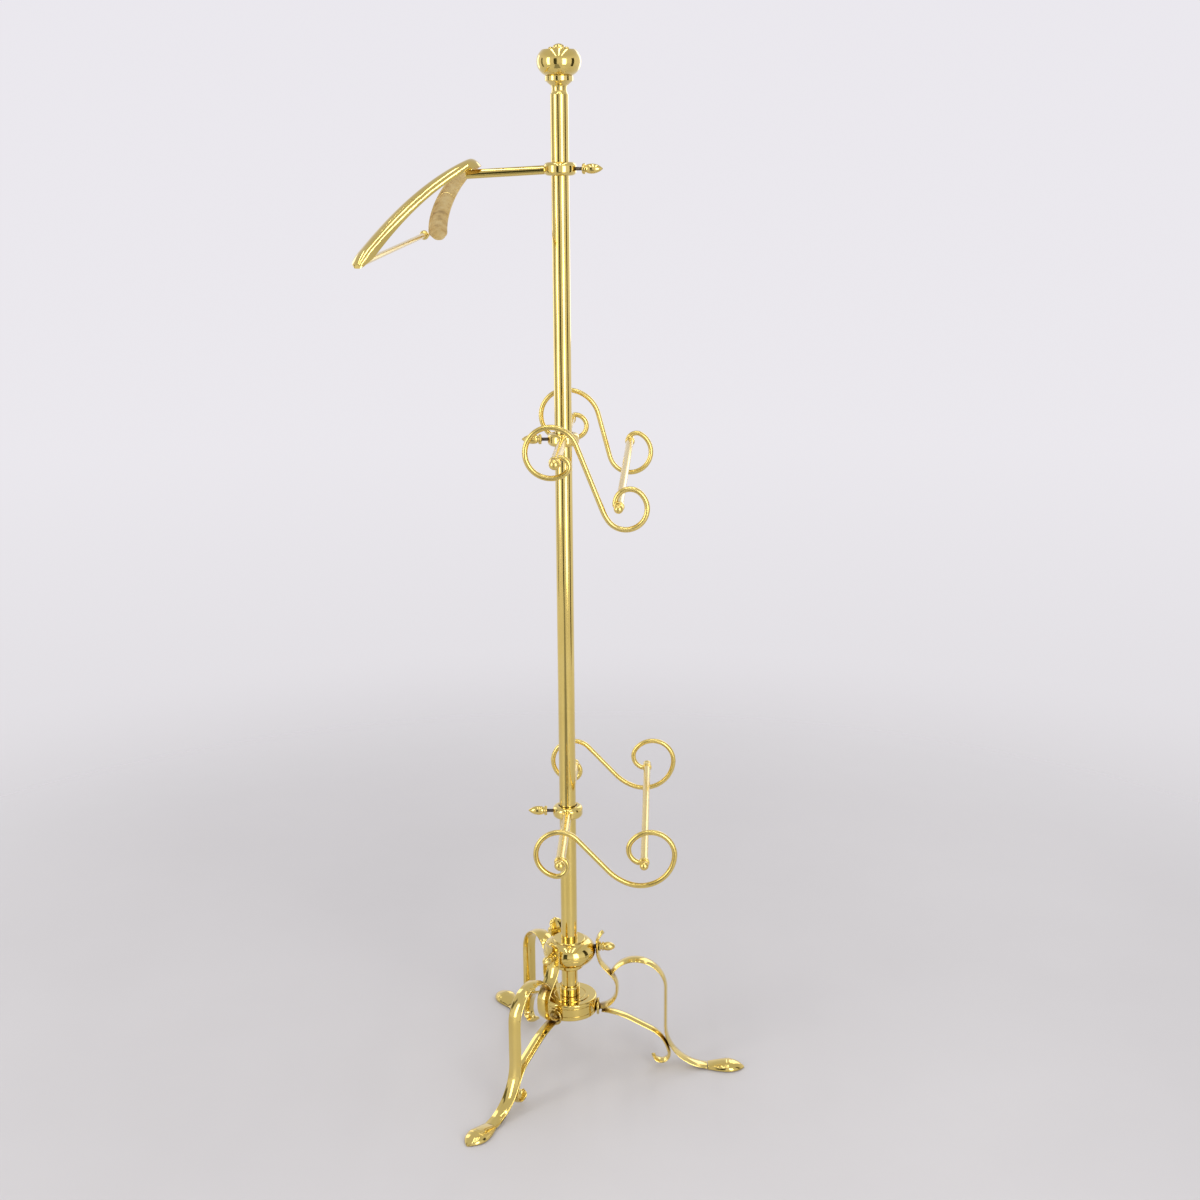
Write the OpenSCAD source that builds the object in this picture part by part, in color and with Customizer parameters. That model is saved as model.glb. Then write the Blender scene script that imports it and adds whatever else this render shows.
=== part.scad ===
// Polished brass clothes valet stand: a weighted column on three scrolled legs,
// two tilting trouser racks and a jacket hanger, each on a collar that slides and turns
// on the pole and is locked by a thumbscrew.
// Millimetres. +Z is up, the floor is z = 0 and the pole's axis is the Z axis.

/* [Pole] */
// Outer diameter of the pole tube
pole_d = 25; // [24:0.5:26]
// Wall thickness of the pole tube
pole_wall = 1.6; // [1:0.1:2.5]
// Height of the top of the pole tube
pole_top = 1466; // [1440:1:1500]

/* [Base] */
// Diameter of the weighted base disc
disc_d = 83.5; // [80:0.5:88]
// Height of the underside of the base disc
disc_z = 96; // [94:1:98]
// Thickness of the base disc
disc_h = 27.6; // [26:0.2:29]
// Diameter of the hub above the disc
hub_d = 80.5; // [79:0.5:82]
// Height of the widest circle of the hub
hub_z = 197; // [196:0.5:199]
// Azimuth of the first leg, seen from above
leg_turn = -2.6; // [-10:0.1:10]
// Width of the leg strips
strip_w = 22; // [18:0.5:24]
// Thickness of the leg strips
strip_t = 6; // [5:0.25:6]

/* [Collars] */
// Outer diameter of the three collars
collar_d = 45.4; // [45:0.2:48]
// Height of the three collars
collar_h = 18.5; // [17:0.5:20]
// Height of the hanger collar
hanger_z = 1369; // [1350:1:1380]
// Height of the upper rack collar
upper_z = 994; // [980:1:1000]
// Height of the lower rack collar
lower_z = 427; // [400:1:440]

/* [Racks] */
// Distance from the pole axis to the middle of each scroll
rack_half = 193; // [180:1:200]
// Diameter of the stub rods that carry a rack
stub_d = 14; // [13:0.5:14]
// Diameter of the outer bar of a rack
bar_d = 11; // [10.5:0.5:11.5]
// Diameter of the scroll wire
wire_d = 7.5; // [6.5:0.25:8]
// Turn of both racks about the pole
rack_turn = -2.2; // [-10:0.1:10]

/* [Hanger] */
// Turn of the hanger about the pole
hanger_turn = -8.3; // [-12:0.1:0]
// Droop of the hanger arm below level
arm_droop = 3; // [2:0.5:4]
// Diameter of the hanger arm
arm_d = 12.5; // [11.5:0.5:13]
// Distance from the pole axis to the crest of the hanger
arm_reach = 125; // [120:1:135]
// Half the width of the hanger
hanger_half = 228; // [215:1:232]
// Width of the hanger shell
shell_w = 28.5; // [26:0.5:31]

/* [Hidden] */

$fn = 64;
brass = "#d9b44a";
raw_brass = "#c9a25a";
steel = "#4a4640";
liner_black = "#201c18";

// running fit, all round, of a part that turns or slides on another
fit = 0.06;
// clearance, all round, of a thread or a spigot that is screwed home
snug = 0.02;
// gap between faces of parts that move past each other
gap = 0.3;

pole_r = pole_d / 2;
pole_bore = pole_r - pole_wall;
disc_top = disc_z + disc_h;

// ---- general shapes ----

// round bar along +Z with its two ends rounded by edge
module rounded_bar(d, h, edge) {
  translate([0, 0, h / 2]) soft_ring(0, d / 2, h, edge);
}

// turn that points +Z along v
function aim(v) = [0, acos(v[2] / norm(v)), atan2(v[1], v[0])];

// ring about Z, centred on z = 0, with its outer corners rounded by edge
module soft_ring(bore_r, outer_r, h, edge) {
  rotate_extrude($fn = 96) intersection() {
    translate([bore_r, -h / 2]) square([outer_r - bore_r, h]);
    union() {
      translate([0, -h / 2]) square([outer_r - edge, h]);
      if (h > 2 * edge)
        translate([0, edge - h / 2]) square([outer_r, h - 2 * edge]);
      for (side = [-1, 1])
        translate([outer_r - edge, side * (h / 2 - edge)]) circle(edge, $fn = 48);
    }
  }
}

// turned groove of the given width, half as deep, on radius r at height z
module groove(r, z, width) {
  translate([0, 0, z]) rotate_extrude($fn = 96)
    translate([r, 0]) circle(width / 2, $fn = 24);
}

// A path is a chain of runs from a start [x, y, heading]: [radius, turn] is an arc and
// [length, 0] a straight. A positive turn bears left.
arc_step = 10;
function run_at(from, run, share) =
  let (h = from[2], turn = run[1] * share, side = sign(run[1]), r = side * run[0])
  run[1] == 0
    ? [from[0] + run[0] * share * cos(h), from[1] + run[0] * share * sin(h), h]
    : [from[0] + r * (sin(h + turn) - sin(h)), from[1] - r * (cos(h + turn) - cos(h)), h + turn];
function path(from, runs, first = 0) =
  first == len(runs) ? [from]
  : let (run = runs[first], steps = max(1, ceil(abs(run[1]) / arc_step)))
    concat([for (k = [0 : steps - 1]) run_at(from, run, k / steps)],
           path(run_at(from, run, 1), runs, first + 1));

// a section stands square to the path: its X is to the left of the path and its Y is up
function ring_at(place, section) = [for (q = section)
  [place[0] - q[0] * sin(place[2]), place[1] + q[0] * cos(place[2]), q[1]]];

function round_section(d, sides = 10) = [for (k = [0 : sides - 1])
  d / 2 * [cos(360 * (k + 0.5) / sides), sin(360 * (k + 0.5) / sides)]];

// closed skin through rings of equal length
module skin(rings) {
  n = len(rings[0]);
  last = len(rings) - 1;
  points = [for (ring = rings) each ring];
  sides = [for (r = [0 : last - 1]) for (k = [0 : n - 1]) let (m = (k + 1) % n)
    [r * n + m, r * n + k, (r + 1) * n + k, (r + 1) * n + m]];
  polyhedron(points, concat(sides, [[for (k = [0 : n - 1]) k]],
    [[for (k = [n - 1 : -1 : 0]) last * n + k]]), convexity = 6);
}

module sweep(from, runs, section) {
  skin([for (place = path(from, runs)) ring_at(place, section)]);
}

// ---- pole, hub and base ----

module pole() {
  color(brass) difference() {
    translate([0, 0, disc_top]) cylinder(h = pole_top - disc_top, r = pole_r, $fn = 96);
    translate([0, 0, disc_top - 1]) cylinder(h = pole_top - disc_top + 2, r = pole_bore);
  }
}

ferrule_h = 16;
ferrule_r = 15.5;

module pole_ferrule() {
  color(brass) translate([0, 0, disc_top + ferrule_h / 2])
    difference() {
      soft_ring(pole_r + snug, ferrule_r, ferrule_h, 1.4);
      for (side = [-1, 1])
        groove(ferrule_r, side * 4, 1.2);
    }
}

bolt_r = 4;
disc_groove_step = 6.5;
disc_ring_r = 30;

module base_disc() {
  color(brass) difference() {
    union() {
      translate([0, 0, disc_z + disc_h / 2 - 0.5]) soft_ring(0, disc_d / 2, disc_h - 1, 2.5);
      translate([0, 0, disc_top - 2]) cylinder(h = 2, r = disc_ring_r, $fn = 96);
    }
    for (side = [-1, 1])
      groove(disc_d / 2, disc_z + disc_h / 2 + side * disc_groove_step, 1.6);
    groove(disc_ring_r - 6, disc_top, 1.4);
    // clearance hole for the bolt, and a counterbore for its head
    translate([0, 0, disc_z - 1]) cylinder(h = disc_h + 2, r = bolt_r + 0.2);
    translate([0, 0, disc_z - 1]) cylinder(h = 11, r = 15);
    // tapped holes for the three leg bosses
    for (leg = leg_angles)
      rotate([0, 0, leg]) translate([disc_d / 2 - boss_spigot, 0, boss_z])
        rotate([0, 90, 0]) cylinder(h = boss_spigot + 1, r = boss_stud_r + snug);
  }
}

plug_h = 30;

// threaded plug that is fixed in the foot of the pole
module base_plug() {
  color(steel) translate([0, 0, disc_top]) difference() {
    cylinder(h = plug_h, r = pole_bore - snug);
    translate([0, 0, -1]) cylinder(h = plug_h - 3, r = bolt_r + snug);
  }
}

module base_bolt() {
  head_z = disc_z + 2;
  color(steel) union() {
    translate([0, 0, head_z]) cylinder(h = 6, r = 7.5, $fn = 6);
    translate([0, 0, head_z + 6]) cylinder(h = disc_top + 20 - head_z - 6, r = bolt_r);
  }
}

module base_washer() {
  color(steel) translate([0, 0, disc_z + 8]) difference() {
    cylinder(h = 2, r = 12);
    translate([0, 0, -1]) cylinder(h = 4, r = bolt_r + 0.3);
  }
}

hub_edge = 19;
hub_ring_r = 25;
hub_top = hub_z + hub_edge;
hub_foot = 170;

module hub() {
  color(brass) difference() {
    union() {
      translate([0, 0, hub_z]) soft_ring(0, hub_d / 2, 2 * hub_edge, hub_edge);
      translate([0, 0, hub_top - 1]) soft_ring(0, hub_ring_r, 6, 2);
      translate([0, 0, hub_foot]) rounded_bar(44, 20, 3);
    }
    translate([0, 0, hub_foot - 1]) cylinder(h = 60, r = pole_r + snug, $fn = 96);
    for (side = [-1, 1])
      groove(hub_d / 2, hub_z + side * 2.5, 1.2);
    groove(hub_ring_r, hub_top, 1.6);
    // tapped holes for the three leg studs
    for (leg = leg_angles)
      rotate([0, 0, leg]) translate([hub_d / 2 - hub_stud_in, 0, nut_z])
        rotate([0, 90, 0]) cylinder(h = hub_stud_in + 1, r = leg_stud_r + snug);
  }
}

// ---- finial ----

neck_z = pole_top;
neck_ring_z = 1484;
neck_ring_h = 8;
ball_z = 1510;
ball_edge = 20;
ball_r = 30.5;
rosette_z = 1525.5;
finial_stud_r = 4;

module top_plug() {
  color(steel) translate([0, 0, pole_top - 20]) difference() {
    cylinder(h = 20, r = pole_bore - snug);
    translate([0, 0, -1]) cylinder(h = 22, r = finial_stud_r + snug);
  }
}

module finial_stud() {
  color(steel) translate([0, 0, pole_top - 16]) cylinder(h = 70, r = finial_stud_r);
}

module finial_neck() {
  cone_h = 5;
  waist_r = 10.3;
  flare = 8;
  color(brass) difference() {
    union() {
      translate([0, 0, neck_ring_z + neck_ring_h / 2]) soft_ring(0, 19.3, neck_ring_h, 1.5);
      translate([0, 0, neck_ring_z - cone_h]) cylinder(h = cone_h, r1 = 12, r2 = 18, $fn = 96);
      translate([0, 0, neck_z]) rotate_extrude($fn = 96) difference() {
        square([12.5, neck_ring_z - neck_z - cone_h + 1]);
        translate([waist_r + 12, flare]) circle(12, $fn = 64);
      }
    }
    translate([0, 0, neck_z - 1]) cylinder(h = 40, r = finial_stud_r + snug);
  }
}

module finial_ball() {
  base_z = neck_ring_z + neck_ring_h;
  color(brass) difference() {
    translate([0, 0, ball_z]) soft_ring(0, ball_r, 2 * ball_edge, ball_edge);
    translate([0, 0, base_z - 30]) cylinder(h = 30, r = 40);
    translate([0, 0, rosette_z]) cylinder(h = 30, r = 40);
    translate([0, 0, base_z - 1]) cylinder(h = 30, r = finial_stud_r + snug);
  }
}

rosette_beads = 12;

module finial_rosette() {
  color(brass) difference() {
    union() {
      translate([0, 0, rosette_z]) cylinder(h = 2.6, r = 12.6);
      for (bead = [0 : rosette_beads - 1])
        rotate([0, 0, bead * 360 / rosette_beads]) translate([12, 0, rosette_z + 1.2])
          sphere(2.3, $fn = 24);
      translate([0, 0, rosette_z + 2.5]) intersection() {
        cylinder(h = 5.5, r = 8);
        translate([0, 0, -5.4]) sphere(10.9, $fn = 64);
      }
    }
    translate([0, 0, rosette_z - 20]) cylinder(h = 20, r = 20);
  }
}

// ---- legs ----

leg_angles = [leg_turn, leg_turn - 120, leg_turn + 120];
boss_z = 102.5;
boss_stud_r = 3;
boss_spigot = 9;
boss_r = 13.2;
boss_t = 4;
boss_nose = 6.5;
leg_stud_r = 3;
hub_stud_in = 10;
nut_z = 204;

// the outlines of a leg, in its own plane: X away from the pole, Y up
brace_hold = 43.5;
brace_start = [52.9, 229, 215];
brace_runs = [[22, 55], [14, 0], [40, 42], [18, 0], [30, -44], [5, 0], [29, -80]];
scroll_start = [67, 162.3, 61];
scroll_runs = [[40, -61], [47, -90], [63, 0], [70, 86]];
strut_start = [49.5, 97, -6];
strut_runs = [[120, -22], [36.8, 0], [55, -47], [6, 0], [12.5, -190]];

// strip seen end on: both faces are domed, so that its long edges are thinner
function strip_section(w) =
  let (dome = 1.3, x = strip_t / 2, y = w / 2, flat = 0.55 * y)
  [[x, flat], [x - dome, y], [dome - x, y], [-x, flat],
   [-x, -flat], [dome - x, -y], [x - dome, -y], [x, -flat]];

// stands a leg outline, drawn in XY, upright at its azimuth
module on_leg(leg) {
  rotate([0, 0, leg]) rotate([90, 0, 0]) children();
}

module leg_scroll(leg) {
  color(brass) on_leg(leg) sweep(scroll_start, scroll_runs, strip_section(strip_w));
}

module leg_brace(leg) {
  color(brass) on_leg(leg) difference() {
    sweep(brace_start, brace_runs, strip_section(strip_w));
    translate([brace_hold - 10, nut_z, 0]) rotate([0, 90, 0])
      cylinder(h = 20, r = leg_stud_r + snug);
  }
}

module leg_strut(leg) {
  color(brass) on_leg(leg) sweep(strut_start, strut_runs, strip_section(strip_w - 4));
}

foot_in = 215.2;
foot_len = 57;

// half width and height of the leaf foot, from its neck (share 0) to its point (share 1)
function foot_half(share) = 11 + 6.5 * sin(180 * pow(share, 1.15)) - 9.4 * pow(share, 7);
function foot_rise(share) = 5.6 + 6.4 * sin(150 * share) - 6.6 * pow(share, 5);
function foot_ring(share) =
  let (x = foot_in + foot_len * share, w = foot_half(share), h = foot_rise(share))
  concat([[x, -w * 0.8, 0], [x, w * 0.8, 0]],
    [for (a = [0 : 22.5 : 180]) [x, w * cos(a), 1.6 + (h - 1.6) * sin(a)]]);

// leaf foot: a long domed pad, flat underneath
module leg_foot(leg) {
  color(brass) rotate([0, 0, leg])
    skin([for (k = [16 : -1 : 0]) foot_ring(k / 16)]);
}

module leg_studs() {
  color(steel) for (leg = leg_angles)
    rotate([0, 0, leg]) translate([hub_d / 2 - hub_stud_in + 1, 0, nut_z])
      rotate([0, 90, 0]) cylinder(h = hub_stud_in + 22, r = leg_stud_r);
}

// bullet nut along +Z: a flange, a neck, a ring and a long nose
nut_len = 24;
nut_r = 6.8;
nose_arc = 14;
nose_mid = 13;

module bullet_nut() {
  rotate_extrude($fn = 64) difference() {
    union() {
      square([7.3, 2]);
      square([5.2, 6]);
      translate([0, 4.2]) square([nut_r, 2.4]);
      intersection() {
        translate([nut_r - nose_arc, nose_mid]) circle(nose_arc, $fn = 96);
        translate([0, 5]) square([nut_r + 1, nut_len - 5]);
      }
    }
    translate([0, -1]) square([leg_stud_r + snug, 20]);
  }
}

module leg_nuts() {
  nut_x = brace_hold + strip_t / 2 + 0.1;
  color(brass) for (leg = leg_angles)
    rotate([0, 0, leg]) translate([nut_x, 0, nut_z]) rotate([0, 90, 0]) bullet_nut();
}

module disc_bosses() {
  color(brass) for (leg = leg_angles)
    rotate([0, 0, leg]) translate([disc_d / 2, 0, boss_z]) rotate([0, 90, 0]) union() {
      translate([0, 0, 0.05]) rounded_bar(2 * boss_r, boss_t, 1.6);
      translate([0, 0, boss_t - 1]) cylinder(h = boss_nose - boss_t + 1, r1 = 8, r2 = 4);
      translate([0, 0, 1 - boss_spigot]) cylinder(h = boss_spigot, r = boss_stud_r);
    }
}

// ---- collars ----

liner_r = 13.9;
screw_r = 2.4;
knob_seat = 31;

module at_collar(z, turn) {
  translate([0, 0, z]) rotate([0, 0, turn]) children();
}

module collar_liner(z) {
  color(liner_black) at_collar(z, 0) difference() {
    cylinder(h = collar_h - 1.4, r = liner_r, center = true, $fn = 96);
    cylinder(h = collar_h, r = pole_r + fit, center = true, $fn = 96);
  }
}

// collar blank with its bore and the tapped hole of the thumbscrew, which is on +X
module collar_body() {
  difference() {
    soft_ring(liner_r + fit, collar_d / 2, collar_h, 6.5);
    rotate([0, 90, 0]) cylinder(h = collar_d, r = screw_r + fit);
    children();
  }
}

module thumb_screw() {
  color(steel) translate([liner_r + gap, 0, 0]) rotate([0, 90, 0])
    cylinder(h = knob_seat + 12 - liner_r - gap, r = screw_r);
}

// acorn knob on +X: a base flange, a waist and a pointed bulb with a blunt tip
module acorn_knob() {
  bulb_r = 6.9;
  bulb_arc = 22;
  bulb_x = 13;
  bulb_end = 28.4;
  color(brass) translate([knob_seat, 0, 0]) rotate([0, 90, 0]) difference() {
    rotate_extrude($fn = 64) union() {
      square([5.9, 4.6]);
      translate([0, 1.4]) square([7.3, 1.8]);
      for (z = [1.4, 3.2]) translate([5.9, z]) circle(1.4, $fn = 24);
      square([5, 8]);
      intersection() {
        translate([bulb_r - bulb_arc, bulb_x]) circle(bulb_arc, $fn = 128);
        translate([0, 6.4]) square([bulb_r + 1, bulb_end - 6.4]);
      }
    }
    translate([0, 0, -1]) cylinder(h = 13 + snug, r = screw_r + snug);
  }
}

// ---- racks ----

spot_face = 20.4;
stub_spigot_r = 4;
eye_len = 9;
eye_gap = 0.3;
eye_r = 8.4;
outer_eye_r = 7.4;
stub_pin_r = 4;
bar_pin_r = 3.2;
cap_neck = 2.5;

// each rack: [height, front end of the outer bar seen from the stub rods, its rear end,
// scroll start, front scroll runs, rear scroll runs]
lower_runs = [[15, -146], [33.4, -213], [63, 0], [77, 26], [48, 106], [33.5, 149], [20.5, 111]];
lower_rack = [lower_z, [118, 0], [118, 0], [6, 2.5, -48], lower_runs, lower_runs];
upper_rack = [upper_z, [84.5, -59], [91.5, -34.2], [5, 6.5, 7],
  [[12, -153], [34, -213.5], [36, -69], [95.3, 0], [65, 14], [28.6, 194], [19.8, 140]],
  [[17.5, -148.5], [39, -213], [49.7, -80.7], [66.8, 0], [47, 10.2], [32, 212], [14, 113]]];

function bar_end(rack, side) = [rack[side < 0 ? 1 : 2][0], side * rack_half, rack[side < 0 ? 1 : 2][1]];
function bar_half(rack) = norm(bar_end(rack, 1) - bar_end(rack, -1)) / 2;

module at_rack(rack) {
  at_collar(rack[0], rack_turn) children();
}

module rack_collar(rack) {
  color(brass) at_rack(rack) rotate([0, 0, 180]) collar_body() {
    for (side = [0, 180]) rotate([0, 0, side]) {
      rotate([-90, 0, 0]) cylinder(h = collar_d, r = stub_spigot_r + snug);
      translate([0, spot_face, 0]) rotate([-90, 0, 0]) cylinder(h = 10, r = stub_d / 2 + 0.1);
    }
  }
}

// frame of the outer bar: origin at its middle, +Z along it to the rear
module on_bar(rack) {
  translate((bar_end(rack, 1) + bar_end(rack, -1)) / 2)
    rotate(aim(bar_end(rack, 1) - bar_end(rack, -1))) children();
}

// the two rods that are screwed into the collar, front and rear
module stub_rods(rack) {
  rod_end = rack_half - eye_len / 2 - eye_gap;
  color(brass) at_rack(rack) for (side = [0, 180])
    rotate([0, 0, side]) rotate([-90, 0, 0]) union() {
      translate([0, 0, liner_r + 1]) cylinder(h = 20, r = stub_spigot_r);
      translate([0, 0, spot_face + snug]) cylinder(h = rod_end - spot_face - snug, r = stub_d / 2);
      translate([0, 0, rod_end - 1]) cylinder(h = eye_len + 10, r = stub_pin_r);
    }
}

// cap nut along +Z: a neck and a ball, bored for its pin
module ball_cap(ball, pin_r, neck_r) {
  difference() {
    union() {
      cylinder(h = cap_neck + 1, r = neck_r);
      translate([0, 0, cap_neck + ball * 0.45]) sphere(ball / 2, $fn = 48);
    }
    translate([0, 0, -1]) cylinder(h = 9.5, r = pin_r + snug);
    translate([0, 0, -ball]) cylinder(h = ball, r = ball);
  }
}

module stub_caps(rack) {
  color(brass) at_rack(rack) for (side = [0, 180])
    rotate([0, 0, side]) translate([0, rack_half + eye_len / 2 + eye_gap, 0])
      rotate([-90, 0, 0]) ball_cap(15, stub_pin_r, 6.5);
}

// one S scroll with an eye for the stub rod and an eye for the outer bar
module rack_scroll(rack, side) {
  color(brass) at_rack(rack) difference() {
    union() {
      translate([0, side * rack_half, 0]) rotate([90, 0, 0]) {
        soft_ring(0, eye_r, eye_len, 2);
        sweep(rack[3], rack[side < 0 ? 4 : 5], round_section(wire_d));
      }
      on_bar(rack) translate([0, 0, side * bar_half(rack)]) soft_ring(0, outer_eye_r, eye_len, 2);
    }
    translate([0, side * rack_half, 0]) rotate([90, 0, 0])
      cylinder(h = 2 * eye_len, r = stub_pin_r + fit, center = true);
    on_bar(rack) translate([0, 0, side * bar_half(rack)])
      cylinder(h = 2 * eye_len, r = bar_pin_r + snug, center = true);
  }
}

module rack_bar(rack) {
  half = bar_half(rack) - eye_len / 2 - snug;
  color(brass) at_rack(rack) on_bar(rack) union() {
    cylinder(h = 2 * half, r = bar_d / 2, center = true);
    cylinder(h = 2 * (half + eye_len + 8), r = bar_pin_r, center = true);
  }
}

module bar_caps(rack) {
  color(brass) at_rack(rack) on_bar(rack) for (side = [0, 180])
    rotate([side, 0, 0]) translate([0, 0, bar_half(rack) + eye_len / 2 + snug])
      ball_cap(12.8, bar_pin_r, 5.4);
}

// ---- hanger ----

crest_z = 4.5;
hanger_roll = 1.8;
crest_part = 105;
shell_t = 2.6;
shell_rise = 10;
arm_spigot_r = 4;
seam = 0.2;

// the shoulder line, from the crest (share 0) to the tip (share 1)
function softened(share) = sqrt(share * share + 0.0064) - 0.08;
function sweep_out(share) = 205 * softened(share) - 85.5 * share * share;
function shoulder_drop(share) = 80.5 * softened(share) + 114 * share * share - 72 * pow(share, 3);
function shoulder_at(side, share) =
  [-arm_reach - sweep_out(share), side * hanger_half * share, crest_z - shoulder_drop(share)];

// level direction across the shoulder line
function across(side, share) =
  let (step = 0.01,
       a = shoulder_at(side, share + step),
       b = shoulder_at(side, share - step < 0 ? 0 : share - step),
       run = [a[0] - b[0], a[1] - b[1]],
       size = norm(run))
  share < 0.005 ? [-1, 0, 0] : [-side * run[1] / size, side * run[0] / size, 0];

// crowned shell section: across the width, then up; u runs from -1 to 1
function crown(u, narrow) = shell_rise * narrow * (1 - u * u);
section_us = [-1, -0.8, -0.5, -0.17, 0.17, 0.5, 0.8, 1];
function width_at(share) =
  share < 0.89 ? 1 : sqrt(max(0.04, 1 - pow((share - 0.89) / 0.112, 2)));
// how far the arch is closed underneath: only at the very tips
function closed_at(share) = max(0, share - 0.967) / 0.033;
function shell_ring(side, share) =
  let (p = shoulder_at(side, share), c = across(side, share), n = width_at(share),
       open = 1 - closed_at(share))
  concat(
    [for (u = section_us) p + c * (u * n * shell_w / 2) + [0, 0, crown(u, n)]],
    [for (k = [len(section_us) - 1 : -1 : 0]) let (u = section_us[k] * 0.9)
      p + c * (u * n * shell_w / 2) + [0, 0, crown(u, n) * open - shell_t]]);

module at_hanger() {
  at_collar(hanger_z, hanger_turn) rotate([hanger_roll, 0, 0]) children();
}

crest_share = crest_part / hanger_half;

module hanger_collar() {
  color(brass) at_collar(hanger_z, hanger_turn) collar_body()
    rotate([0, -90 - arm_droop, 0]) {
      cylinder(h = collar_d, r = arm_spigot_r + snug);
      translate([0, 0, spot_face]) cylinder(h = 10, r = arm_d / 2 + 0.1);
    }
}

arm_end = arm_reach + 8;
saddle_r = 3;
saddle_top = 17.9;

module hanger_arm() {
  color(brass) at_collar(hanger_z, hanger_turn) rotate([0, -90 - arm_droop, 0]) union() {
    translate([0, 0, liner_r + 1]) cylinder(h = 20, r = arm_spigot_r);
    translate([0, 0, spot_face + snug])
      rounded_bar(arm_d, arm_end - spot_face, 1.5);
    translate([0, 0, arm_reach]) rotate([0, 90, 0]) cylinder(h = saddle_top, r = saddle_r);
  }
}

module hanger_crest() {
  steps = 9;
  front = [for (k = [steps : -1 : 1]) shell_ring(-1, crest_share * k / steps)];
  rear = [for (k = [0 : steps]) shell_ring(1, crest_share * k / steps)];
  color(raw_brass) at_hanger() skin(concat(front, rear));
}

module shoulder(side) {
  steps = 20;
  from = crest_share + seam / hanger_half;
  rings = [for (k = [0 : steps]) shell_ring(side, from + (1 - from) * sin(90 * k / steps))];
  color(raw_brass) at_hanger() skin(side > 0 ? rings : [for (k = [steps : -1 : 0]) rings[k]]);
}

rod_d = 8;
front_share = 0.95;
rear_share = 0.93;
rear_half = width_at(rear_share) * shell_w / 2;
bar_front = shoulder_at(-1, front_share) + [0, 0, -2.5];
rear_rim = shoulder_at(1, rear_share) + across(1, rear_share) * (rear_half + 0.1) + [0, 0, -0.4];
ball_nut_r = 7.3;
bar_rear = rear_rim + across(1, rear_share) * (ball_nut_r + 0.7);
bar_axis = (bar_rear - bar_front) / norm(bar_rear - bar_front);
bar_sleeve = 8;
post_rise = 9.2;

// round rod from point a to point b
module rod_between(a, b, d) {
  translate(a) rotate(aim(b - a)) cylinder(h = norm(b - a), d = d);
}

module trouser_bar() {
  color(brass) at_hanger() rod_between(bar_front, bar_rear, rod_d);
}

// front: a sleeve with a post up to the shell. Rear: a ball nut beside the shell's rim
module bar_nuts() {
  color(brass) at_hanger() difference() {
    union() {
      rod_between(bar_front, bar_front + bar_axis * bar_sleeve, rod_d + 1.8);
      translate(bar_front + bar_axis * bar_sleeve / 2) cylinder(h = post_rise, r = 2);
      translate(bar_rear) sphere(ball_nut_r, $fn = 48);
      rod_between(bar_rear, rear_rim, 4);
    }
    rod_between(bar_front - bar_axis, bar_rear + bar_axis * 0.1, rod_d + 2 * snug);
  }
}

// ---- assembly ----

pole();
pole_ferrule();
base_disc();
base_plug();
base_bolt();
base_washer();
hub();
top_plug();
finial_stud();
finial_neck();
finial_ball();
finial_rosette();
leg_scroll(leg_angles[0]);  // right_leg_scroll
leg_brace(leg_angles[0]);  // right_leg_brace
leg_strut(leg_angles[0]);  // right_leg_strut
leg_foot(leg_angles[0]);  // right_leg_foot
leg_scroll(leg_angles[1]);  // front_leg_scroll
leg_brace(leg_angles[1]);  // front_leg_brace
leg_strut(leg_angles[1]);  // front_leg_strut
leg_foot(leg_angles[1]);  // front_leg_foot
leg_scroll(leg_angles[2]);  // rear_leg_scroll
leg_brace(leg_angles[2]);  // rear_leg_brace
leg_strut(leg_angles[2]);  // rear_leg_strut
leg_foot(leg_angles[2]);  // rear_leg_foot
leg_studs();
leg_nuts();
disc_bosses();
collar_liner(hanger_z);  // hanger_liner
hanger_collar();
at_collar(hanger_z, hanger_turn) thumb_screw();  // hanger_screw
at_collar(hanger_z, hanger_turn) acorn_knob();  // hanger_knob
hanger_arm();
hanger_crest();
shoulder(-1);  // shoulder_front
shoulder(1);  // shoulder_rear
trouser_bar();
bar_nuts();
collar_liner(upper_z);  // upper_liner
rack_collar(upper_rack);  // upper_collar
at_collar(upper_z, 180 + rack_turn) thumb_screw();  // upper_screw
at_collar(upper_z, 180 + rack_turn) acorn_knob();  // upper_knob
stub_rods(upper_rack);  // upper_stub_rods
stub_caps(upper_rack);  // upper_stub_caps
rack_scroll(upper_rack, -1);  // upper_scroll_front
rack_scroll(upper_rack, 1);  // upper_scroll_rear
rack_bar(upper_rack);  // upper_bar
bar_caps(upper_rack);  // upper_bar_caps
collar_liner(lower_z);  // lower_liner
rack_collar(lower_rack);  // lower_collar
at_collar(lower_z, 180 + rack_turn) thumb_screw();  // lower_screw
at_collar(lower_z, 180 + rack_turn) acorn_knob();  // lower_knob
stub_rods(lower_rack);  // lower_stub_rods
stub_caps(lower_rack);  // lower_stub_caps
rack_scroll(lower_rack, -1);  // lower_scroll_front
rack_scroll(lower_rack, 1);  // lower_scroll_rear
rack_bar(lower_rack);  // lower_bar
bar_caps(lower_rack);  // lower_bar_caps
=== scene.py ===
import math

import bmesh
import bpy
from mathutils import Matrix, Vector


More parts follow.
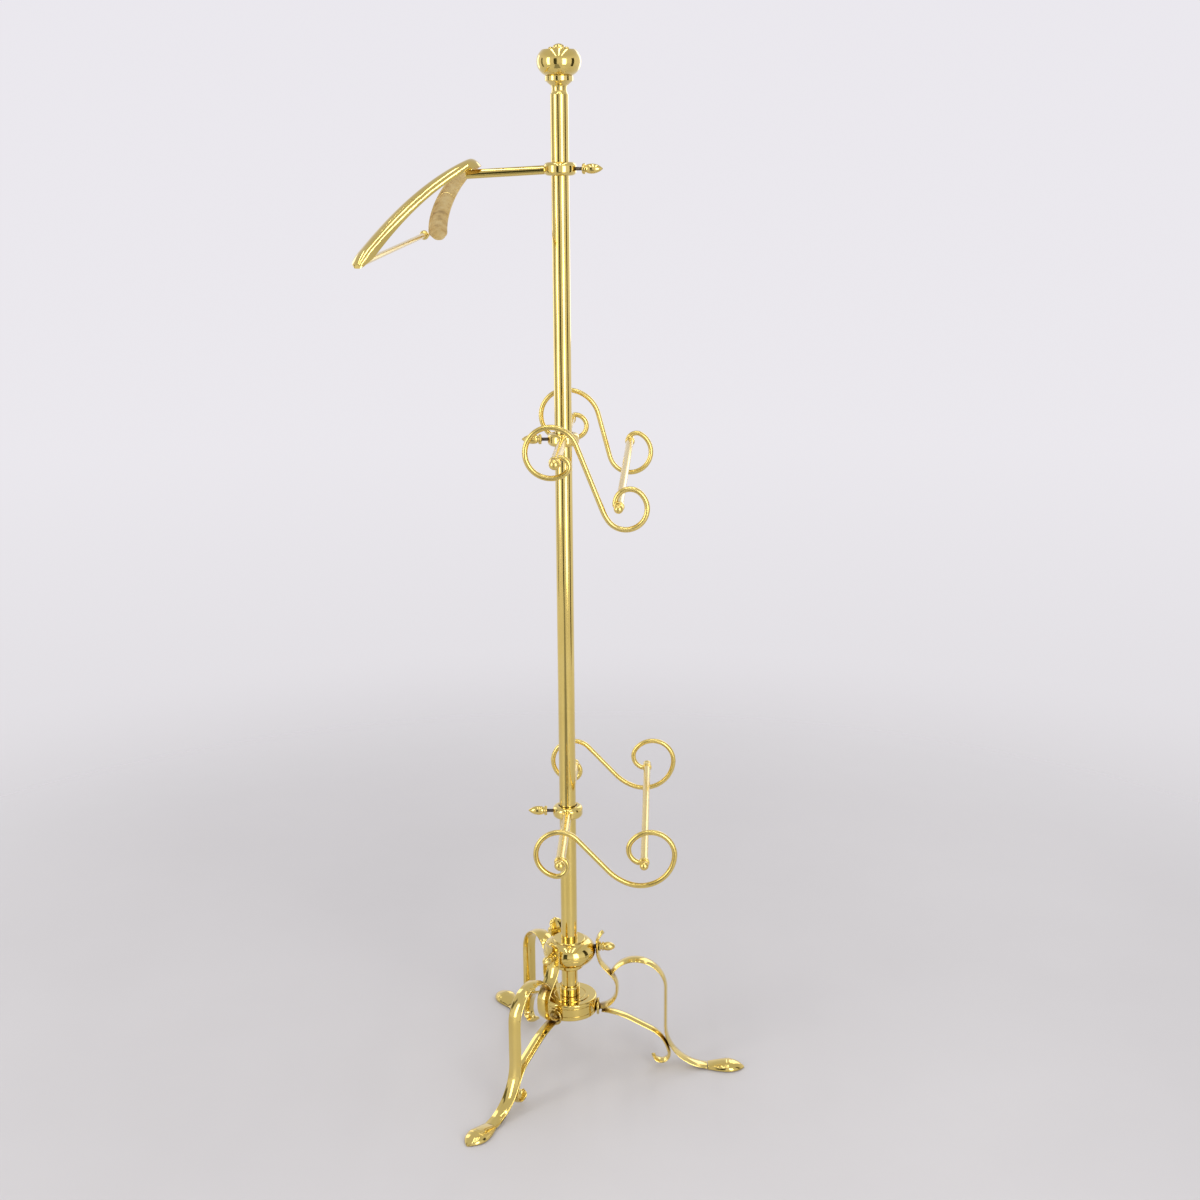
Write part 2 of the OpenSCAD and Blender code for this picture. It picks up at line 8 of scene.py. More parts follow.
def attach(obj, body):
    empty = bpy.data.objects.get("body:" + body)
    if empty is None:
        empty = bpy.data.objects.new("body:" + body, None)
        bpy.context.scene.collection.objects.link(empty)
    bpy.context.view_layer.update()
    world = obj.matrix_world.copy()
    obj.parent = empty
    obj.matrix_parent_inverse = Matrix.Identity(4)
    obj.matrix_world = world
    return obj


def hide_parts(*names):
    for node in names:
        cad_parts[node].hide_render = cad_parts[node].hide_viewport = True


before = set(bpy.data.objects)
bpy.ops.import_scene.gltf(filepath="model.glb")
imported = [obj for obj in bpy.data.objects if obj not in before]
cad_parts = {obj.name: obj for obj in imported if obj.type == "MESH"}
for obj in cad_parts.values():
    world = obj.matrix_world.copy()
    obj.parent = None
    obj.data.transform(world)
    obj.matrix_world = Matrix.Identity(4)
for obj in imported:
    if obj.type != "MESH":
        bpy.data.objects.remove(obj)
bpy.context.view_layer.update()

MM = 0.001


# ---------------------------------------------------------------- shapes

def walk(start, runs, step=2.5):
    """Places (x, y, heading) along a chain of arcs (radius, turn) and straights (length, 0)."""
    x, y, h = start[0], start[1], math.radians(start[2])
    places = [(x, y, h)]
    for size, turn in runs:
        if turn == 0:
            n = max(1, round(size / step))
            for _ in range(n):
                x += size / n * math.cos(h)
                y += size / n * math.sin(h)
                places.append((x, y, h))
        else:
            t = math.radians(turn)
            r = math.copysign(size, t)
            n = max(6, round(abs(size * t) / step))
            for _ in range(n):
                x += r * (math.sin(h + t / n) - math.sin(h))
                y -= r * (math.cos(h + t / n) - math.cos(h))
                h += t / n
                places.append((x, y, h))
    return places


def lengths(places):
    """Distance along the path at each place, from 0, and the whole length."""
    out = [0.0]
    for a, b in zip(places, places[1:]):
        out.append(out[-1] + math.hypot(b[0] - a[0], b[1] - a[1]))
    return out


def bands(rows, n):
    """Faces between neighbouring closed rows of n points each."""
    faces = []
    for r in range(rows - 1):
        for k in range(n):
            m = (k + 1) % n
            faces.append((r * n + k, r * n + m, (r + 1) * n + m, (r + 1) * n + k))
    return faces


def skin(rings, arched=False):
    """Vertices and faces of a closed tube through rings of equal length.

    The ends are fans, or for an arched section strips between its outer and its inner half.
    """
    n = len(rings[0])
    verts = [p for ring in rings for p in ring]
    faces = bands(len(rings), n)
    for r in (0, len(rings) - 1):
        if arched:
            ends = [(r * n + k, r * n + k + 1, r * n + n - 2 - k, r * n + n - 1 - k)
                    for k in range(n // 2 - 1)]
        else:
            verts.append([sum(c) / n for c in zip(*rings[r])])
            ends = [(r * n + k, r * n + (k + 1) % n, len(verts) - 1) for k in range(n)]
        faces += [face[::-1] for face in ends] if r == 0 else ends
    return verts, faces


def swept(places, section):
    """Rings along a path; section(distance, whole length) gives points (left, out of plane)."""
    run = lengths(places)
    rings = []
    for (x, y, h), d in zip(places, run):
        ring = []
        for a, b in section(d, run[-1]):
            ring.append((x - a * math.sin(h), y + a * math.cos(h), b))
        rings.append(ring)
    return rings


def round_section(d, sides):
    turns = [2 * math.pi * k / sides for k in range(sides)]
    pts = [(d / 2 * math.cos(a), d / 2 * math.sin(a)) for a in turns]
    return lambda dist, whole: pts


def lathe(profile, sides=64, along=Matrix.Identity(4)):
    """Turned shape: profile is a list of (radius, height) from one end to the other."""
    verts = []
    for r, z in profile:
        for k in range(sides):
            a = 2 * math.pi * k / sides
            verts.append(tuple(along @ Vector((r * math.cos(a), r * math.sin(a), z))))
    return verts, bands(len(profile), sides)


def arc(cx, cz, r, a0, a1, n=8):
    """Points of an arc in a turned profile, angles in degrees from the outward radius."""
    return [(cx + r * math.cos(math.radians(a0 + (a1 - a0) * k / n)),
             cz + r * math.sin(math.radians(a0 + (a1 - a0) * k / n))) for k in range(n + 1)]


def joined(*parts):
    """One shape from several."""
    verts, faces = [], []
    for v, f in parts:
        base = len(verts)
        verts += list(v)
        faces += [tuple(i + base for i in face) for face in f]
    return verts, faces


def piece(name, shape, place, body, mat, nodes=(), sharp=40):
    """Adds a mesh in millimetres, set in place, riding on a body and standing for CAD nodes."""
    verts, faces = shape
    mesh = bpy.data.meshes.new(name)
    world = [place @ Vector(v) * MM for v in verts]
    mesh.from_pydata([tuple(v) for v in world], [], faces)
    mesh.validate()
    mesh.update()
    obj = bpy.data.objects.new(name, mesh)
    bpy.context.scene.collection.objects.link(obj)
    bm = bmesh.new()
    bm.from_mesh(mesh)
    bmesh.ops.remove_doubles(bm, verts=bm.verts, dist=1e-6)
    bmesh.ops.recalc_face_normals(bm, faces=bm.faces)
    bm.to_mesh(mesh)
    bm.free()
    for poly in mesh.polygons:
        poly.use_smooth = True
    mesh.set_sharp_from_angle(angle=math.radians(sharp))
    mesh.materials.append(mat)
    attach(obj, body)
    if nodes:
        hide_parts(*nodes)


# ---------------------------------------------------------------- materials

def new_mat(name):
    mat = bpy.data.materials.new(name)
    mat.use_nodes = True
    tree = mat.node_tree
    bsdf = tree.nodes["Principled BSDF"]
    return mat, tree, bsdf


def node(tree, kind, **values):
    made = tree.nodes.new(kind)
    for key, value in values.items():
        if key in made.inputs:
            made.inputs[key].default_value = value
        else:
            setattr(made, key, value)
    return made


def ramp(tree, source, stops):
    made = tree.nodes.new("ShaderNodeValToRGB")
    els = made.color_ramp.elements
    while len(els) < len(stops):
        els.new(0.5)
    for el, (pos, col) in zip(els, stops):
        el.position = pos
        el.color = (*col, 1)
    tree.links.new(source, made.inputs[0])
    return made.outputs["Color"]


def span(tree, source, low, high, out_low, out_high):
    made = tree.nodes.new("ShaderNodeMapRange")
    made.inputs["From Min"].default_value = low
    made.inputs["From Max"].default_value = high
    made.inputs["To Min"].default_value = out_low
    made.inputs["To Max"].default_value = out_high
    tree.links.new(source, made.inputs["Value"])
    return made.outputs["Result"]


def maths(tree, op, a, b):
    made = tree.nodes.new("ShaderNodeMath")
    made.operation = op
    for k, v in enumerate((a, b)):
        if isinstance(v, (int, float)):
            made.inputs[k].default_value = v
        else:
            tree.links.new(v, made.inputs[k])
    return made.outputs[0]


def mixed(tree, fac, a, b):
    made = tree.nodes.new("ShaderNodeMix")
    made.data_type = "RGBA"
    for socket, v in ((made.inputs[0], fac), (made.inputs[6], a), (made.inputs[7], b)):
        if hasattr(v, "is_output"):
            tree.links.new(v, socket)
        else:
            socket.default_value = v if isinstance(v, (int, float)) else (*v, 1)
    return made.outputs[2]


def noise(tree, coord, scale, detail=4, rough=0.55, stretch=None):
    made = node(tree, "ShaderNodeTexNoise", Scale=scale, Detail=detail, Roughness=rough)
    if stretch:
        place = node(tree, "ShaderNodeMapping", Scale=stretch)
        tree.links.new(coord, place.inputs["Vector"])
        coord = place.outputs[0]
    tree.links.new(coord, made.inputs["Vector"])
    return made.outputs["Fac"]


BRASS = (0.80, 0.61, 0.17)
BRASS_PALE = (0.86, 0.69, 0.26)
BRASS_DEEP = (0.66, 0.48, 0.115)
# dark brown of the painted shade in the corners of the brass
PAINTED_SHADE_BROWN = (0.20, 0.105, 0.03)
BRAZE_BROWN = (0.16, 0.075, 0.025)
RAW_BRASS = [(0.30, (0.44, 0.28, 0.10)), (0.46, (0.80, 0.60, 0.25)),
             (0.62, (0.92, 0.76, 0.40)), (0.78, (0.64, 0.43, 0.16))]
COAT_WEIGHT, COAT_ROUGHNESS = 0.6, 0.05
TONE_MIX = 0.45


def brass(name, waviness=0.02, smear=0.5, painted_shade=0.6, base=0.06, braze=None, buff=None):
    """Polished, lacquered brass: polishing haze, faint waviness and painted shade darkening the
    corners.

    braze lists browned spots as (centre, reach) in metres; buff stretches the polishing lines.
    """
    mat, tree, bsdf = new_mat(name)
    coord = tree.nodes.new("ShaderNodeTexCoord").outputs["Object"]
    cloud = noise(tree, coord, 9, 5)
    fine = noise(tree, coord, 160, 6, 0.7)
    tone = ramp(tree, cloud, [(0.30, BRASS_DEEP), (0.48, BRASS), (0.70, BRASS_PALE)])
    tone = mixed(tree, TONE_MIX, BRASS, tone)
    # painted shade: ambient occlusion darkens the colour towards a dark brown in corners and
    # between parts, patchy through fine noise, and roughens it there
    corner = node(tree, "ShaderNodeAmbientOcclusion", samples=8, Distance=0.007)
    painted_shade_mask = span(tree, corner.outputs["AO"], 0.25, 0.8, 1, 0)
    painted_shade_mask = maths(tree, "MULTIPLY", painted_shade_mask, span(tree, fine, 0.3, 0.7, painted_shade * 0.35, painted_shade))
    tone = mixed(tree, painted_shade_mask, tone, PAINTED_SHADE_BROWN)
    haze = span(tree, cloud, 0.3, 0.75, base, base + 0.13 * smear)
    haze = maths(tree, "ADD", haze, span(tree, fine, 0.45, 0.8, 0, 0.06 * smear))
    haze = maths(tree, "ADD", haze, maths(tree, "MULTIPLY", painted_shade_mask, 0.35))
    if braze:
        spots = None
        for centre, reach in braze:
            away = node(tree, "ShaderNodeVectorMath", operation="DISTANCE")
            tree.links.new(coord, away.inputs[0])
            away.inputs[1].default_value = centre
            near = span(tree, away.outputs["Value"], reach * 0.25, reach, 1, 0)
            spots = near if spots is None else maths(tree, "MAXIMUM", spots, near)
        patchy = span(tree, noise(tree, coord, 60, 5), 0.35, 0.6, 0.15, 0.95)
        spots = maths(tree, "MULTIPLY", spots, patchy)
        tone = mixed(tree, spots, tone, BRAZE_BROWN)
        haze = maths(tree, "ADD", haze, maths(tree, "MULTIPLY", spots, 0.3))
    tree.links.new(tone, bsdf.inputs["Base Color"])
    tree.links.new(haze, bsdf.inputs["Roughness"])
    bsdf.inputs["Metallic"].default_value = 1.0
    bsdf.inputs["Coat Weight"].default_value = COAT_WEIGHT
    bsdf.inputs["Coat Roughness"].default_value = COAT_ROUGHNESS
    soft = noise(tree, coord, 22, 3)
    bump = node(tree, "ShaderNodeBump", Strength=waviness, Distance=0.004)
    tree.links.new(soft, bump.inputs["Height"])
    last = bump
    if buff:
        lines = noise(tree, coord, 90, 3, 0.6, stretch=buff)
        second = node(tree, "ShaderNodeBump", Strength=0.03, Distance=0.0006)
        tree.links.new(lines, second.inputs["Height"])
        tree.links.new(bump.outputs[0], second.inputs["Normal"])
        last = second
    tree.links.new(last.outputs[0], bsdf.inputs["Normal"])
    return mat


def shell_brass():
    """Hanger shell: polished on top, raw mottled metal underneath."""
    mat, tree, bsdf = new_mat("hanger_brass")
    coord = tree.nodes.new("ShaderNodeTexCoord").outputs["Object"]
    up = tree.nodes.new("ShaderNodeSeparateXYZ")
    tree.links.new(tree.nodes.new("ShaderNodeNewGeometry").outputs["Normal"], up.inputs[0])
    under = span(tree, up.outputs["Z"], -0.15, -0.45, 0, 1)
    cloud = noise(tree, coord, 12, 5)
    blotch = noise(tree, coord, 45, 7, 0.65)
    top = ramp(tree, cloud, [(0.32, BRASS_DEEP), (0.5, BRASS), (0.7, BRASS_PALE)])
    top = mixed(tree, TONE_MIX, BRASS, top)
    raw = ramp(tree, blotch, RAW_BRASS)
    tree.links.new(mixed(tree, under, top, raw), bsdf.inputs["Base Color"])
    gloss = span(tree, cloud, 0.3, 0.75, 0.06, 0.13)
    dull = span(tree, blotch, 0.3, 0.7, 0.34, 0.6)
    rough = node(tree, "ShaderNodeMix", data_type="FLOAT")
    tree.links.new(under, rough.inputs[0])
    tree.links.new(gloss, rough.inputs[2])
    tree.links.new(dull, rough.inputs[3])
    tree.links.new(rough.outputs[0], bsdf.inputs["Roughness"])
    bsdf.inputs["Metallic"].default_value = 1.0
    tree.links.new(span(tree, under, 0, 1, COAT_WEIGHT, 0), bsdf.inputs["Coat Weight"])
    bsdf.inputs["Coat Roughness"].default_value = COAT_ROUGHNESS
    soft = noise(tree, coord, 34, 4)
    bump = node(tree, "ShaderNodeBump", Strength=0.09, Distance=0.004)
    tree.links.new(soft, bump.inputs["Height"])
    tree.links.new(bump.outputs[0], bsdf.inputs["Normal"])
    return mat


def steel():
    """Dark steel of the screws, with the rings of a thread."""
    mat, tree, bsdf = new_mat("dark_steel")
    coord = tree.nodes.new("ShaderNodeTexCoord").outputs["Object"]
    cloud = noise(tree, coord, 120, 5)
    tree.links.new(ramp(tree, cloud, [(0.35, (0.045, 0.038, 0.032)), (0.7, (0.15, 0.13, 0.115))]),
                   bsdf.inputs["Base Color"])
    tree.links.new(span(tree, cloud, 0.3, 0.7, 0.28, 0.5), bsdf.inputs["Roughness"])
    bsdf.inputs["Metallic"].default_value = 1.0
    # thread: fine rings round the screw, along its own axis
    wave = node(tree, "ShaderNodeTexWave", Scale=320, Distortion=0.0, bands_direction="X")
    tree.links.new(coord, wave.inputs["Vector"])
    bump = node(tree, "ShaderNodeBump", Strength=0.5, Distance=0.0004)
    tree.links.new(wave.outputs["Fac"], bump.inputs["Height"])
    tree.links.new(bump.outputs[0], bsdf.inputs["Normal"])
    return mat


def liner():
    """Near-black sleeve inside a collar."""
    mat, tree, bsdf = new_mat("liner")
    coord = tree.nodes.new("ShaderNodeTexCoord").outputs["Object"]
    cloud = noise(tree, coord, 200, 4)
    tree.links.new(ramp(tree, cloud, [(0.3, (0.012, 0.010, 0.008)), (0.7, (0.035, 0.03, 0.024))]),
                   bsdf.inputs["Base Color"])
    tree.links.new(span(tree, cloud, 0.3, 0.7, 0.55, 0.75), bsdf.inputs["Roughness"])
    return mat


def floor_mat():
    """Pale grey studio floor, slightly clouded, that fades out with distance from the stand."""
    mat, tree, bsdf = new_mat("floor")
    coord = tree.nodes.new("ShaderNodeTexCoord").outputs["Object"]
    cloud = noise(tree, coord, 1.2, 5)
    tree.links.new(ramp(tree, cloud, [(0.3, (0.62, 0.605, 0.60)), (0.7, (0.66, 0.645, 0.64))]),
                   bsdf.inputs["Base Color"])
    bsdf.inputs["Roughness"].default_value = 0.5
    away = node(tree, "ShaderNodeVectorMath", operation="LENGTH")
    tree.links.new(coord, away.inputs[0])
    fade = node(tree, "ShaderNodeMapRange", interpolation_type="SMOOTHSTEP")
    for socket, value in (("From Min", 0.75), ("From Max", 2.4), ("To Min", 1.0), ("To Max", 0.0)):
        fade.inputs[socket].default_value = value
    tree.links.new(away.outputs["Value"], fade.inputs["Value"])
    tree.links.new(fade.outputs["Result"], bsdf.inputs["Alpha"])
    return mat


def glow_mat(name, colour):
    """Flat tone of a reflector card."""
    mat = bpy.data.materials.new(name)
    mat.use_nodes = True
    tree = mat.node_tree
    tree.nodes.clear()
    glow = node(tree, "ShaderNodeEmission", Color=(*colour, 1), Strength=1.0)
    out = tree.nodes.new("ShaderNodeOutputMaterial")
    tree.links.new(glow.outputs[0], out.inputs["Surface"])
    return mat


# ---------------------------------------------------------------- dimensions, in millimetres

LEG_TURN = -2.6
LEGS = {"right": LEG_TURN, "front": LEG_TURN - 120, "rear": LEG_TURN + 120}
STRIP_W, STRIP_T, STRIP_EDGE, STRIP_CROWN = 22.0, 6.0, 2.1, 1.7
# strips as (start x, y, heading) and runs of arcs (radius, turn) and straights (length, 0)
BRACE = ((52.9, 229, 215), [(22, 55), (14, 0), (40, 42), (18, 0), (30, -44), (5, 0), (29, -80)])
SCROLL = ((67, 162.3, 61), [(40, -61), (47, -90), (63, 0), (70, 86)])
STRUT = ((49.5, 97, -6), [(120, -22), (36.8, 0), (55, -47), (6, 0), (12.5, -190)])
FOOT_IN, FOOT_LEN = 215.2, 57.0
RIDGES, RIDGE_RISE, RIDGE_SPREAD = (0.50, 0.58), 0.8, 0.022
NECK_SHARE = 0.3
# browned braze spots of a leg: distance from the axis, height, and reach in metres
BRAZED = ((50, 101, 0.021), (67, 160, 0.014))

RACK_TURN, RACK_HALF, WIRE = -2.2, 193.0, 7.5
EYE_LEN, STUB_EYE, STUB_BORE, BAR_EYE, BAR_BORE = 9.0, 8.4, 4.06, 7.4, 3.22
LOWER_RUNS = [(15, -146), (33.4, -213), (63, 0), (77, 26), (48, 106), (33.5, 149), (20.5, 111)]
# height, scroll start, and for the front and the rear end: place of the outer bar, scroll runs
RACKS = {
    "lower": (427.0, (6, 2.5, -48), ((118.0, 0.0), LOWER_RUNS), ((118.0, 0.0), LOWER_RUNS)),
    "upper": (994.0, (5, 6.5, 7),
              ((84.5, -59.0), [(12, -153), (34, -213.5), (36, -69), (95.3, 0), (65, 14),
                               (28.6, 194), (19.8, 140)]),
              ((91.5, -34.2), [(17.5, -148.5), (39, -213), (49.7, -80.7), (66.8, 0), (47, 10.2),
                               (32, 212), (14, 113)])),
}

HANGER_Z, HANGER_TURN, HANGER_ROLL = 1369.0, -8.3, 1.8
ARM_REACH, HANGER_HALF, SHELL_W = 125.0, 228.0, 28.5
CREST_Z, SHELL_RISE, SHELL_T, CREST_PART = 4.5, 10.0, 2.6, 105.0


def upright(turn, z=0.0, across=0.0):
    """Stands an outline drawn in XY upright: X out from the pole, Y up."""
    return (Matrix.Translation((0, 0, z)) @ Matrix.Rotation(math.radians(turn), 4, "Z")
            @ Matrix.Translation((0, across, 0)) @ Matrix.Rotation(math.radians(90), 4, "X"))


# ---------------------------------------------------------------- legs

def strip(width, tip, tail):
    """Flat strip with crowned faces and round edges; tip and tail are rounded spatula ends."""
    t = STRIP_T / 2

    def section(dist, whole):
        w = width / 2
        if tip and dist < tip:
            w *= math.sqrt(max(0.02, 1 - (1 - dist / tip) ** 2))
        if tail and whole - dist < tail:
            w *= math.sqrt(max(0.02, 1 - (1 - (whole - dist) / tail) ** 2))
        edge = min(STRIP_EDGE, w * 0.6)
        flat = w - edge
        half = []
        for k in range(7):                       # right-hand edge, from the back face to the front
            a = math.radians(-90 + 30 * k)
            half.append(((t - STRIP_CROWN) * math.sin(a), flat + edge * math.cos(a)))
        for k in range(1, 6):                    # front face
            b = flat * (1 - k / 3)
            half.append((t - STRIP_CROWN * (b / max(flat, 1e-6)) ** 2, b))
        return half + [(-x, -y) for x, y in half]
    return section


def foot_rings():
    """Leaf foot: neck, domed blade with two turned ridges, and a pointed toe."""
    rings = []
    n = 72
    for k in range(n + 1):
        s = k / n
        x = FOOT_IN + FOOT_LEN * s
        w = 11 + 6.5 * math.sin(math.pi * s ** 1.15) - 9.4 * s ** 7
        h = 5.6 + 6.4 * math.sin(math.radians(150) * s) - 6.6 * s ** 5
        for at in RIDGES:
            h += RIDGE_RISE * math.exp(-((s - at) / RIDGE_SPREAD) ** 2)
        neck = max(0.0, 1 - s / NECK_SHARE)      # the neck keeps the section of the strip
        h += 0.4 * neck
        box = 0.85 - 0.55 * neck
        ring = [(x, -w * 0.8, 0.0), (x, 0, 0.0), (x, w * 0.8, 0.0)]
        m = 20
        for j in range(m + 1):
            a = math.pi * j / m
            ring.append((x, w * math.cos(a), 1.4 + (h - 1.4) * max(0.0, math.sin(a)) ** box))
        rings.append(ring)
    return rings


def build_legs(mat):
    # name, path, width, length of the rounded tip and of the rounded tail
    strips = (("brace", BRACE, STRIP_W, 9, 0), ("scroll", SCROLL, STRIP_W, 0, 0),
              ("strut", STRUT, STRIP_W - 4, 0, 8))
    for leg, turn in LEGS.items():
        for part, (start, runs), width, tip, tail in strips:
            shape = skin(swept(walk(start, runs), strip(width, tip, tail)))
            piece(f"{leg}_leg_{part}_strip", shape, upright(turn), "stand", mat,
                  [f"{leg}_leg_{part}"])
        flat = Matrix.Rotation(math.radians(turn), 4, "Z")
        piece(f"{leg}_leg_leaf_foot", skin(foot_rings()), flat, "stand", mat,
              [f"{leg}_leg_foot"])


# ---------------------------------------------------------------- racks

def eye(r, bore, edge=2.0):
    """Turned eye ring along Z, with round outer corners."""
    h = EYE_LEN / 2
    low = arc(r - edge, -h + edge, edge, -90, 0)
    high = arc(r - edge, h - edge, edge, 0, 90)
    return [(bore, -h)] + low + high + [(bore, h), (bore, -h)]


def build_racks(mat):
    for name, (z, start, front, rear) in RACKS.items():
        stub_eye = lathe(eye(STUB_EYE, STUB_BORE))
        lean = Vector((front[0][0] - rear[0][0], front[0][1] - rear[0][1], 2 * RACK_HALF))
        tip = lean.to_track_quat("Z", "Y").to_matrix().to_4x4()
        for side, end, (bar, runs) in ((-1, "front", front), (1, "rear", rear)):
            wire = skin(swept(walk(start, runs, 1.5), round_section(WIRE, 20)))
            bar_eye = lathe(eye(BAR_EYE, BAR_BORE),
                            along=Matrix.Translation((bar[0], bar[1], 0)) @ tip)
            piece(f"{name}_scroll_wire_{end}", joined(wire, stub_eye, bar_eye),
                  upright(RACK_TURN, z, side * RACK_HALF), f"{name}_rack", mat,
                  [f"{name}_scroll_{end}"])


# ---------------------------------------------------------------- hanger

def softened(s):
    """Share along a shoulder, rounded off where the two shoulders meet."""
    return math.sqrt(s * s + 0.0064) - 0.08


def shoulder_at(side, s):
    """Middle line of a shoulder, from the crest (s = 0) to the tip (s = 1)."""
    out = 205 * softened(s) - 85.5 * s * s
    drop = 80.5 * softened(s) + 114 * s * s - 72 * s ** 3
    return Vector((-ARM_REACH - out, side * HANGER_HALF * s, CREST_Z - drop))


def across(side, s):
    """Level direction across the shell, away from the pole."""
    if s < 0.005:
        return Vector((-1, 0, 0))
    run = shoulder_at(side, s + 0.01) - shoulder_at(side, max(0, s - 0.01))
    run.z = 0
    run.normalize()
    return Vector((-side * run.y, side * run.x, 0))


def width_at(s):
    """Share of the shell's full width: it rounds off towards the tip."""
    return 1.0 if s < 0.89 else math.sqrt(max(0.04, 1 - ((s - 0.89) / 0.112) ** 2))


def shell_ring(side, s):
    """Crowned shell section with a rolled edge."""
    p, c, n = shoulder_at(side, s), across(side, s), width_at(s)
    half = n * SHELL_W / 2
    arch = 1 - max(0.0, s - 0.967) / 0.033       # the arch closes underneath at the very tips
    ring = []
    m = 18
    for k in range(m + 1):
        u = -1 + 2 * k / m
        ring.append(p + c * (u * half) + Vector((0, 0, SHELL_RISE * n * (1 - u * u))))
    for k in range(m + 1):
        u = (1 - 2 * k / m) * 0.9
        rise = SHELL_RISE * n * (1 - u * u) * arch
        ring.append(p + c * (u * half) + Vector((0, 0, rise - SHELL_T)))
    return [tuple(v) for v in ring]


def build_hanger(mat):
    turn = Matrix.Rotation(math.radians(HANGER_TURN), 4, "Z")
    roll = Matrix.Rotation(math.radians(HANGER_ROLL), 4, "X")
    place = Matrix.Translation((0, 0, HANGER_Z)) @ turn @ roll
    part = CREST_PART / HANGER_HALF
    n = 34
    rings = [shell_ring(-1, part * k / n) for k in range(n, 0, -1)]
    rings += [shell_ring(1, part * k / n) for k in range(n + 1)]
    piece("hanger_crest_shell", skin(rings, True), place, "hanger", mat,
          ["hanger_crest"], 35)
    for side, end in ((-1, "front"), (1, "rear")):
        first = part + 0.2 / HANGER_HALF
        rings = [shell_ring(side, first + (1 - first) * math.sin(math.pi / 2 * k / 56))
                 for k in range(57)]
        piece(f"shoulder_{end}_shell", skin(rings, True), place, "hanger", mat,
              [f"shoulder_{end}"], 35)


# ---------------------------------------------------------------- scene

def braze_spots():
    spots = []
    for turn in LEGS.values():
        a = math.radians(turn)
        for out, z, reach in BRAZED:
            spots.append(((out * MM * math.cos(a), out * MM * math.sin(a), z * MM), reach))
    return spots


# each brass darkens its corners with painted shade, to the depth given
polished = brass("polished_brass", painted_shade=0.5)
wire_mat = brass("wire_brass", waviness=0.015, painted_shade=0.5, base=0.23)
tube = brass("tube_brass", waviness=0.012, smear=0.6, painted_shade=0.35, buff=(3, 3, 0.06))
leg_mat = brass("leg_brass", waviness=0.09, smear=0.7, painted_shade=0.7, braze=braze_spots())
shell_mat = shell_brass()
steel_mat = steel()
liner_mat = liner()

for name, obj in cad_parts.items():
    if name.endswith("_liner"):
        mat = liner_mat
    elif name.endswith(("_screw", "_plug", "_bolt", "_washer", "_stud", "_studs")):
        mat = steel_mat
    elif name.endswith(("stub_rods", "_bar", "_caps", "_nuts")):
        mat = wire_mat
    elif name in ("pole", "hanger_arm"):
        mat = tube
    elif name == "disc_bosses":
        mat = leg_mat
    else:
        mat = polished
    obj.data.materials.clear()
    obj.data.materials.append(mat)

build_legs(leg_mat)
build_racks(wire_mat)
build_hanger(shell_mat)

# floor: a pale grey that melts into the pale backdrop
bpy.ops.mesh.primitive_plane_add(size=14, location=(0, 0, -0.0005))
floor = bpy.context.object
floor.name = "floor"
floor.data.materials.append(floor_mat())

# camera: at the photograph's place and angle
PITCH, ROLL = math.radians(14.58), -0.0067
CAMERA_AT, LENS, SENSOR = (0.05095, -2.4274, 1.3873), 51.35, 36
ahead = Vector((0, math.cos(PITCH), -math.sin(PITCH)))
up = Vector((0, math.sin(PITCH), math.cos(PITCH)))
right = Vector((1, 0, 0))
tilt_right = right * math.cos(ROLL) + up * math.sin(ROLL)
tilt_up = up * math.cos(ROLL) - right * math.sin(ROLL)
cam_data = bpy.data.cameras.new("camera")
cam_data.lens = LENS
cam_data.sensor_width = SENSOR
cam_data.clip_start = 0.05
cam = bpy.data.objects.new("camera", cam_data)
bpy.context.scene.collection.objects.link(cam)
look = Matrix((tilt_right, tilt_up, -ahead)).transposed().to_4x4()
cam.matrix_world = Matrix.Translation(CAMERA_AT) @ look
bpy.context.scene.camera = cam


def aimed(obj, at, aim):
    """Puts a light or card at a place, facing another."""
    obj.location = at
    obj.rotation_mode = "QUATERNION"
    obj.rotation_quaternion = (Vector(aim) - Vector(at)).to_track_quat("-Z", "Y")


def area(name, at, aim, size, power, colour=(1, 1, 1)):
    """Area light that the camera does not see."""
    data = bpy.data.lights.new(name, "AREA")
    data.shape = "RECTANGLE"
    data.size, data.size_y = size
    data.energy = power
    data.color = colour
    obj = bpy.data.objects.new(name, data)
    bpy.context.scene.collection.objects.link(obj)
    aimed(obj, at, aim)
    obj.visible_camera = False


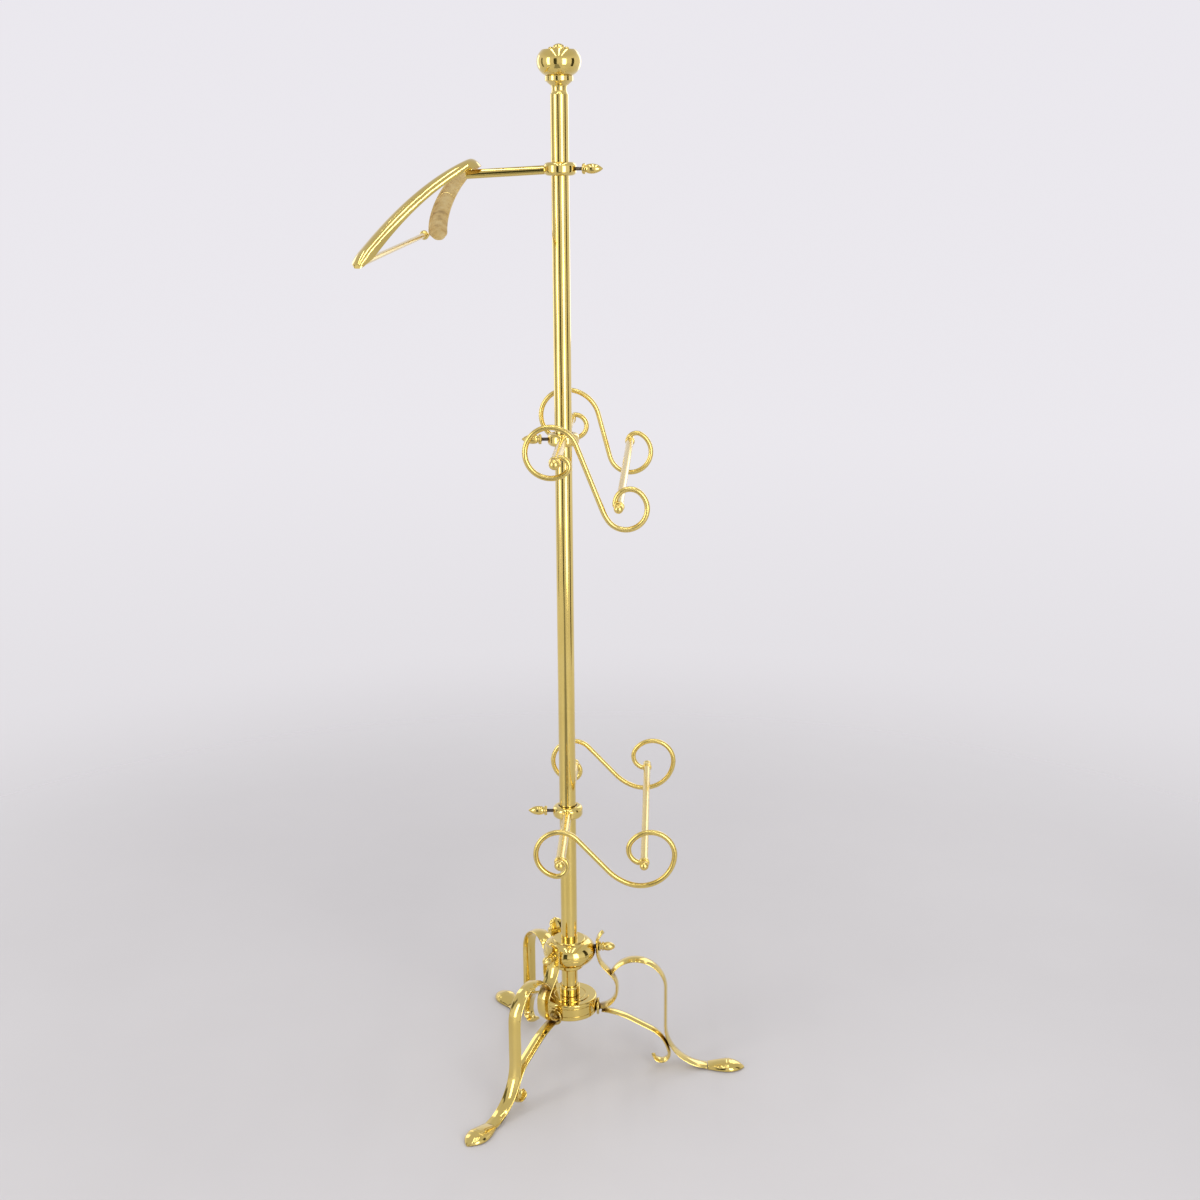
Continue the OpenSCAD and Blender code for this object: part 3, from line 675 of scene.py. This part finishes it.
def card(name, turn, away, size, middle, colour):
    """Upright card seen only in the metal: turn is degrees to the right of the camera's side."""
    t = math.radians(turn)
    at = (away * math.sin(t), -away * math.cos(t), middle)
    bpy.ops.mesh.primitive_plane_add(size=1)
    obj = bpy.context.object
    obj.name = name
    obj.scale = (*size, 1)
    aimed(obj, at, (0, 0, middle))
    obj.data.materials.append(glow_mat(name, colour))
    for kind in ("camera", "diffuse", "transmission", "volume_scatter", "shadow"):
        setattr(obj, "visible_" + kind, False)
    return obj


DARK = (0.055, 0.06, 0.045)
card("dark_behind_camera", -17, 3.2, (0.95, 2.6), 1.25, DARK)
card("dark_right", 79, 2.6, (0.75, 2.4), 1.1, (0.05, 0.045, 0.03))
card("dark_left", -96, 2.6, (0.5, 2.2), 1.2, (0.12, 0.12, 0.09))

FLOOR_CARD_TURN = -10                            # this one lies on the floor, in front
lay = card("dark_floor", FLOOR_CARD_TURN, 2.0, (0.95, 2.1), 0.004, (0.30, 0.30, 0.31))
lay.rotation_mode = "XYZ"
lay.rotation_euler = (0, 0, math.radians(FLOOR_CARD_TURN))

area("window_left", (-2.3, -1.6, 1.4), (0, 0, 1.0), (0.75, 2.3), 20, (1.0, 0.99, 0.97))
area("panel_right", (1.35, -2.35, 1.15), (0, 0, 1.0), (0.95, 2.1), 25, (1.0, 0.99, 0.97))
area("back_rim", (1.2, 2.2, 1.7), (0, 0, 0.9), (1.0, 1.8), 8)
area("back_left", (-1.9, 1.9, 1.5), (0, 0, 0.9), (0.7, 1.8), 5)
for k, x in enumerate((-0.55, 0.05, 0.60)):
    area(f"tube_{k}", (x, -0.7, 2.95), (x, -0.7, 0), (0.09, 2.4), 4.5)

world = bpy.data.worlds.new("studio")
bpy.context.scene.world = world
world.use_nodes = True
wt = world.node_tree
bg = wt.nodes["Background"]
direction = wt.nodes.new("ShaderNodeTexCoord").outputs["Generated"]
axes = wt.nodes.new("ShaderNodeSeparateXYZ")
wt.links.new(direction, axes.inputs[0])
sky = ramp(wt, span(wt, axes.outputs["Z"], -1, 1, 0, 1),
           [(0.28, (0.70, 0.68, 0.70)), (0.42, (0.83, 0.81, 0.85)), (0.62, (0.83, 0.81, 0.86)),
            (0.80, (0.62, 0.61, 0.64))])
wt.links.new(sky, bg.inputs["Color"])
bg.inputs["Strength"].default_value = 1.0

bpy.context.scene.view_settings.view_transform = "Standard"
